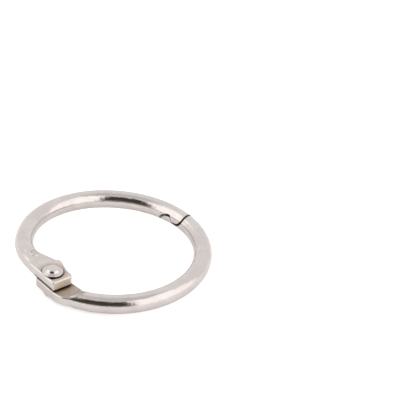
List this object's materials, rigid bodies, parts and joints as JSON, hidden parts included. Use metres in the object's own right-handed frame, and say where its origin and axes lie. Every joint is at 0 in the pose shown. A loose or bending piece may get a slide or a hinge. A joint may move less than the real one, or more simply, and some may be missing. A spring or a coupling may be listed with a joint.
{
  "type": "binder ring",
  "caption": "Hinged loose-leaf binder ring in round polished wire, with a domed rivet hinge and a hooked snap clasp opposite.",
  "frame": {"origin": "centre of the closed ring, level with the face where the two hinge lugs meet", "axes": "+Z along the rivet towards its domed head, +X from the centre towards the rivet, clasp on -X, upper half ring on -Y"},
  "size_m": [0.0369, 0.037, 0.006],
  "materials": {
    "wire_upper": "polished nickel plate on steel wire",
    "wire_lower": "polished nickel plate on steel wire",
    "rivet": "polished nickel plate on a steel rivet"
  },
  "bodies": {
    "lower": {"half_ring_lower": "wire_lower", "hinge_rivet": "rivet"},
    "upper": {"half_ring_upper": "wire_upper"}
  },
  "joints": [
    {"name": "rivet_hinge", "type": "hinge", "parent": "lower", "child": "upper", "pos_m": [0.0159, 0, 0], "axis": [0, 0, 1], "range_deg": [0, 154]}
  ]
}
